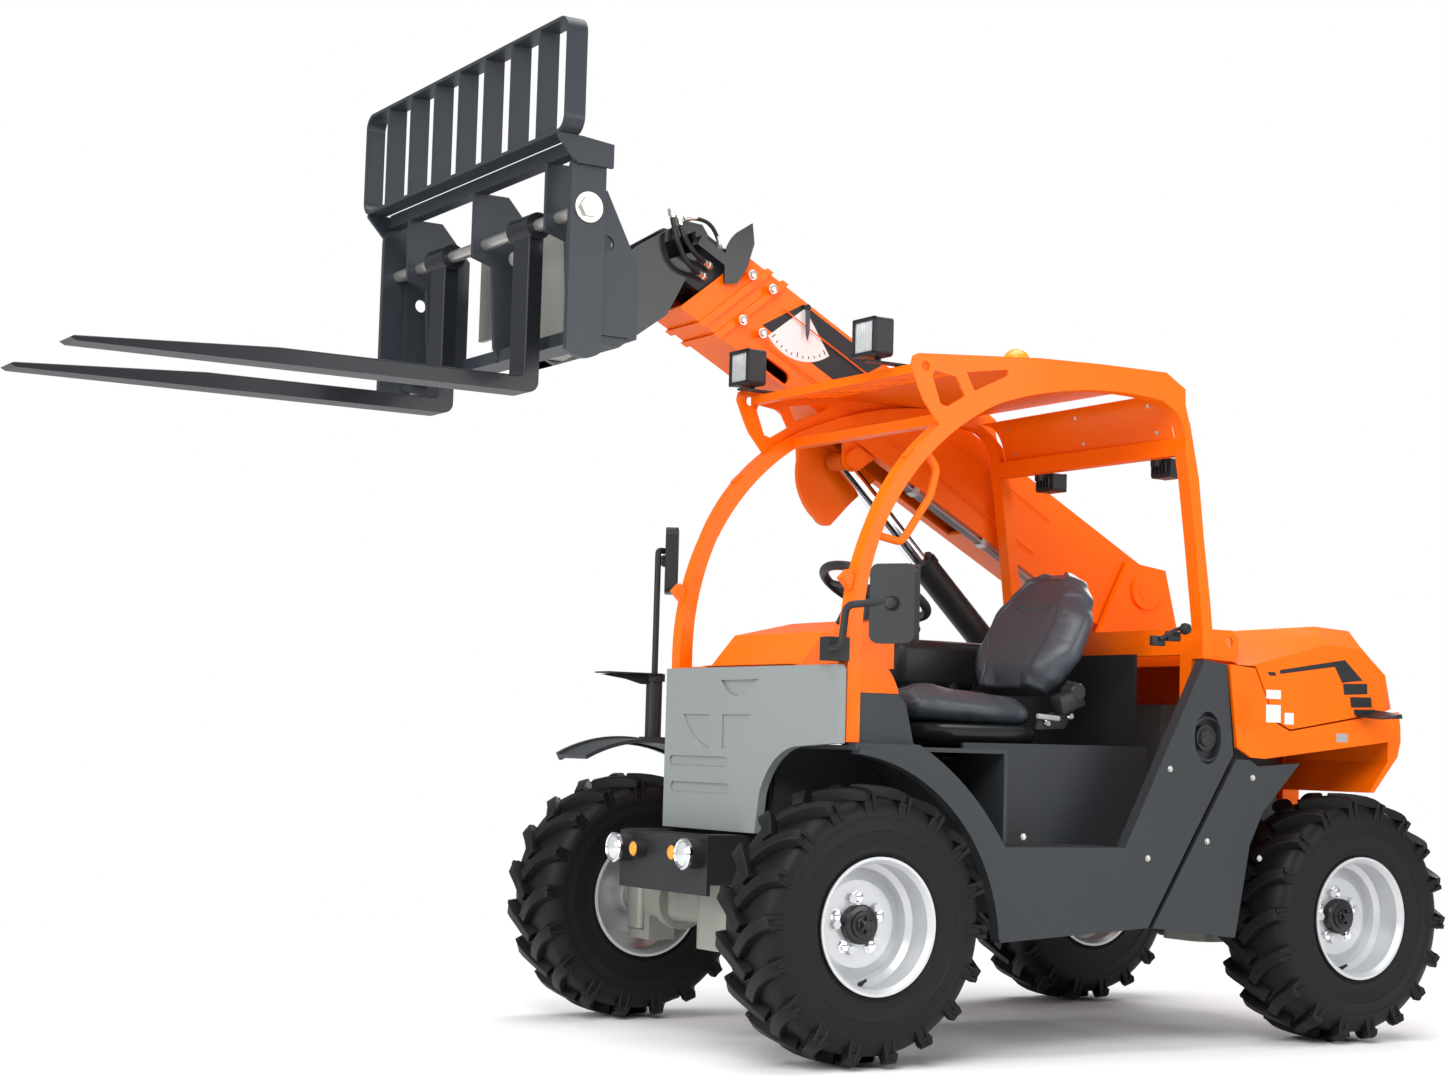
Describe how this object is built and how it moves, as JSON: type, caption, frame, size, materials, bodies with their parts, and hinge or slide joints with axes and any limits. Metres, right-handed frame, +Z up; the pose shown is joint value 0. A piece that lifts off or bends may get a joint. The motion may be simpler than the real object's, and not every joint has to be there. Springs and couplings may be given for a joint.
{
  "type": "telehandler",
  "caption": "Compact telehandler: open cab beside a side-mounted telescopic boom, pallet forks on a shaft carriage, four steered wheels",
  "frame": {"origin": "on the ground under the middle of the overall length and width", "axes": "+X is forward, +Y is to the left, +Z is up"},
  "size_m": [4.232, 1.8349, 2.7977],
  "materials": {
    "main_frame": "satin black paint",
    "boom_tower": "gloss orange paint",
    "engine": "grey iron",
    "front_axle": "grey-green paint",
    "rear_axle": "grey-green paint",
    "front_bumper": "satin black paint",
    "front_cover": "moulded grey plastic",
    "cab_floor": "dark grey paint",
    "left_skirt": "moulded dark grey plastic",
    "fuel_cap": "black plastic",
    "rear_skirt": "moulded dark grey plastic",
    "right_body": "moulded dark grey plastic",
    "rear_body": "gloss orange paint",
    "cab_frame": "gloss orange paint",
    "canopy": "gloss orange paint",
    "dash": "gloss orange paint",
    "steering_column": "black plastic",
    "seat_base": "black bellows",
    "seat_cushion": "black vinyl",
    "seat_back": "black vinyl",
    "console": "dark plastic",
    "work_lamps": "black housings, clear lenses",
    "beacon": "amber lens",
    "left_mirror": "black plastic",
    "right_mirror": "black plastic",
    "hood": "gloss orange paint",
    "steering_wheel": "black moulded grip",
    "boom_outer": "gloss orange paint",
    "boom_pipes": "plain steel pipe",
    "boom_inner": "black paint",
    "boom_head": "black paint",
    "coupler": "olive grey paint",
    "carriage": "anthracite paint",
    "load_guard": "anthracite paint",
    "fork_shaft": "zinc plated",
    "fork_left": "anthracite paint",
    "fork_right": "anthracite paint",
    "lift_cylinder": "black paint",
    "tilt_cylinder": "black paint",
    "lift_rod": "hard chrome",
    "tilt_rod": "hard chrome",
    "knuckle_front_left": "grey-green paint",
    "rim_front_left": "silver paint",
    "tyre_front_left": "black rubber",
    "knuckle_front_right": "grey-green paint",
    "rim_front_right": "silver paint",
    "tyre_front_right": "black rubber",
    "knuckle_rear_left": "grey-green paint",
    "rim_rear_left": "silver paint",
    "tyre_rear_left": "black rubber",
    "knuckle_rear_right": "grey-green paint",
    "rim_rear_right": "silver paint",
    "tyre_rear_right": "black rubber"
  },
  "bodies": {
    "chassis": {"main_frame": "main_frame", "boom_tower": "boom_tower", "engine": "engine", "front_axle": "front_axle", "rear_axle": "rear_axle", "front_bumper": "front_bumper", "front_cover": "front_cover", "cab_floor": "cab_floor", "left_skirt": "left_skirt", "fuel_cap": "fuel_cap", "rear_skirt": "rear_skirt", "right_body": "right_body", "rear_body": "rear_body", "cab_frame": "cab_frame", "canopy": "canopy", "dash": "dash", "steering_column": "steering_column", "seat_base": "seat_base", "seat_cushion": "seat_cushion", "seat_back": "seat_back", "console": "console", "work_lamps": "work_lamps", "beacon": "beacon", "left_mirror": "left_mirror", "right_mirror": "right_mirror"},
    "hood": {"hood": "hood"},
    "steering_wheel": {"steering_wheel": "steering_wheel"},
    "boom_outer": {"boom_outer": "boom_outer", "boom_pipes": "boom_pipes"},
    "boom_inner": {"boom_inner": "boom_inner", "boom_head": "boom_head"},
    "carriage": {"coupler": "coupler", "carriage": "carriage", "load_guard": "load_guard", "fork_shaft": "fork_shaft"},
    "fork_left": {"fork_left": "fork_left"},
    "fork_right": {"fork_right": "fork_right"},
    "lift_cylinder": {"lift_cylinder": "lift_cylinder"},
    "lift_rod": {"lift_rod": "lift_rod"},
    "tilt_cylinder": {"tilt_cylinder": "tilt_cylinder"},
    "tilt_rod": {"tilt_rod": "tilt_rod"},
    "knuckle_front_left": {"knuckle_front_left": "knuckle_front_left"},
    "wheel_front_left": {"rim_front_left": "rim_front_left", "tyre_front_left": "tyre_front_left"},
    "knuckle_front_right": {"knuckle_front_right": "knuckle_front_right"},
    "wheel_front_right": {"rim_front_right": "rim_front_right", "tyre_front_right": "tyre_front_right"},
    "knuckle_rear_left": {"knuckle_rear_left": "knuckle_rear_left"},
    "wheel_rear_left": {"rim_rear_left": "rim_rear_left", "tyre_rear_left": "tyre_rear_left"},
    "knuckle_rear_right": {"knuckle_rear_right": "knuckle_rear_right"},
    "wheel_rear_right": {"rim_rear_right": "rim_rear_right", "tyre_rear_right": "tyre_rear_right"}
  },
  "joints": [
    {"name": "boom_lift", "type": "hinge", "parent": "chassis", "child": "boom_outer", "pos_m": [-1.733, -0.38, 1.423], "axis": [0, -1, 0], "range_deg": [-42, 37]},
    {"name": "boom_extend", "type": "slide", "parent": "boom_outer", "child": "boom_inner", "axis": [0.8829, 0, 0.4695], "range_m": [0, 1.15]},
    {"name": "carriage_tilt", "type": "hinge", "parent": "boom_inner", "child": "carriage", "pos_m": [0.532, -0.38, 2.03], "axis": [0, 1, 0], "range_deg": [-44, 75]},
    {"name": "fork_left_slide", "type": "slide", "parent": "carriage", "child": "fork_left", "axis": [0, 1, 0], "range_m": [-0.18, 0.1]},
    {"name": "fork_right_slide", "type": "slide", "parent": "carriage", "child": "fork_right", "axis": [0, -1, 0], "range_m": [-0.18, 0.1]},
    {"name": "lift_cylinder_swing", "type": "hinge", "parent": "chassis", "child": "lift_cylinder", "pos_m": [-1.586, -0.38, 0.804], "axis": [0, -1, 0], "range_deg": [-60, 60]},
    {"name": "lift_rod_slide", "type": "slide", "parent": "lift_cylinder", "child": "lift_rod", "axis": [0.7287, 0, 0.6849], "range_m": [-0.42, 0.42]},
    {"name": "tilt_cylinder_swing", "type": "hinge", "parent": "boom_inner", "child": "tilt_cylinder", "pos_m": [-0.046, -0.38, 2.297], "axis": [0, 1, 0], "range_deg": [-30, 30]},
    {"name": "tilt_rod_slide", "type": "slide", "parent": "tilt_cylinder", "child": "tilt_rod", "axis": [0.9973, 0, -0.0735], "range_m": [-0.3, 0.3]},
    {"name": "hood_open", "type": "hinge", "parent": "chassis", "child": "hood", "pos_m": [-1.29, 0.23, 1.236], "axis": [0, 1, 0], "range_deg": [0, 48]},
    {"name": "steering_wheel_turn", "type": "hinge", "parent": "chassis", "child": "steering_wheel", "pos_m": [-0.269, 0.22, 1.318], "axis": [-0.4226, 0, 0.9063], "continuous": true},
    {"name": "steer_front_left", "type": "hinge", "parent": "chassis", "child": "knuckle_front_left", "pos_m": [0.062, 0.5, 0.38], "axis": [0, 0, 1], "range_deg": [-28, 28]},
    {"name": "roll_front_left", "type": "hinge", "parent": "knuckle_front_left", "child": "wheel_front_left", "pos_m": [0.062, 0.6225, 0.38], "axis": [0, 1, 0], "continuous": true},
    {"name": "steer_front_right", "type": "hinge", "parent": "chassis", "child": "knuckle_front_right", "pos_m": [0.062, -0.5, 0.38], "axis": [0, 0, 1], "range_deg": [-28, 28]},
    {"name": "roll_front_right", "type": "hinge", "parent": "knuckle_front_right", "child": "wheel_front_right", "pos_m": [0.062, -0.6225, 0.38], "axis": [0, 1, 0], "continuous": true},
    {"name": "steer_rear_left", "type": "hinge", "parent": "chassis", "child": "knuckle_rear_left", "pos_m": [-1.738, 0.5, 0.38], "axis": [0, 0, 1], "range_deg": [-28, 28]},
    {"name": "roll_rear_left", "type": "hinge", "parent": "knuckle_rear_left", "child": "wheel_rear_left", "pos_m": [-1.738, 0.6225, 0.38], "axis": [0, 1, 0], "continuous": true},
    {"name": "steer_rear_right", "type": "hinge", "parent": "chassis", "child": "knuckle_rear_right", "pos_m": [-1.738, -0.5, 0.38], "axis": [0, 0, 1], "range_deg": [-28, 28]},
    {"name": "roll_rear_right", "type": "hinge", "parent": "knuckle_rear_right", "child": "wheel_rear_right", "pos_m": [-1.738, -0.6225, 0.38], "axis": [0, 1, 0], "continuous": true}
  ],
  "couplings": [
    {"joint": "steer_front_right", "follows": "steer_front_left", "ratio": 1},
    {"joint": "steer_rear_left", "follows": "steer_front_left", "ratio": -1},
    {"joint": "steer_rear_right", "follows": "steer_front_left", "ratio": -1},
    {"joint": "lift_cylinder_swing", "follows": "boom_lift", "ratio": 0.8},
    {"joint": "lift_rod_slide", "follows": "boom_lift", "m_per_rad": 0.54},
    {"joint": "tilt_cylinder_swing", "follows": "carriage_tilt", "ratio": 0.12},
    {"joint": "tilt_rod_slide", "follows": "carriage_tilt", "m_per_rad": 0.18}
  ]
}
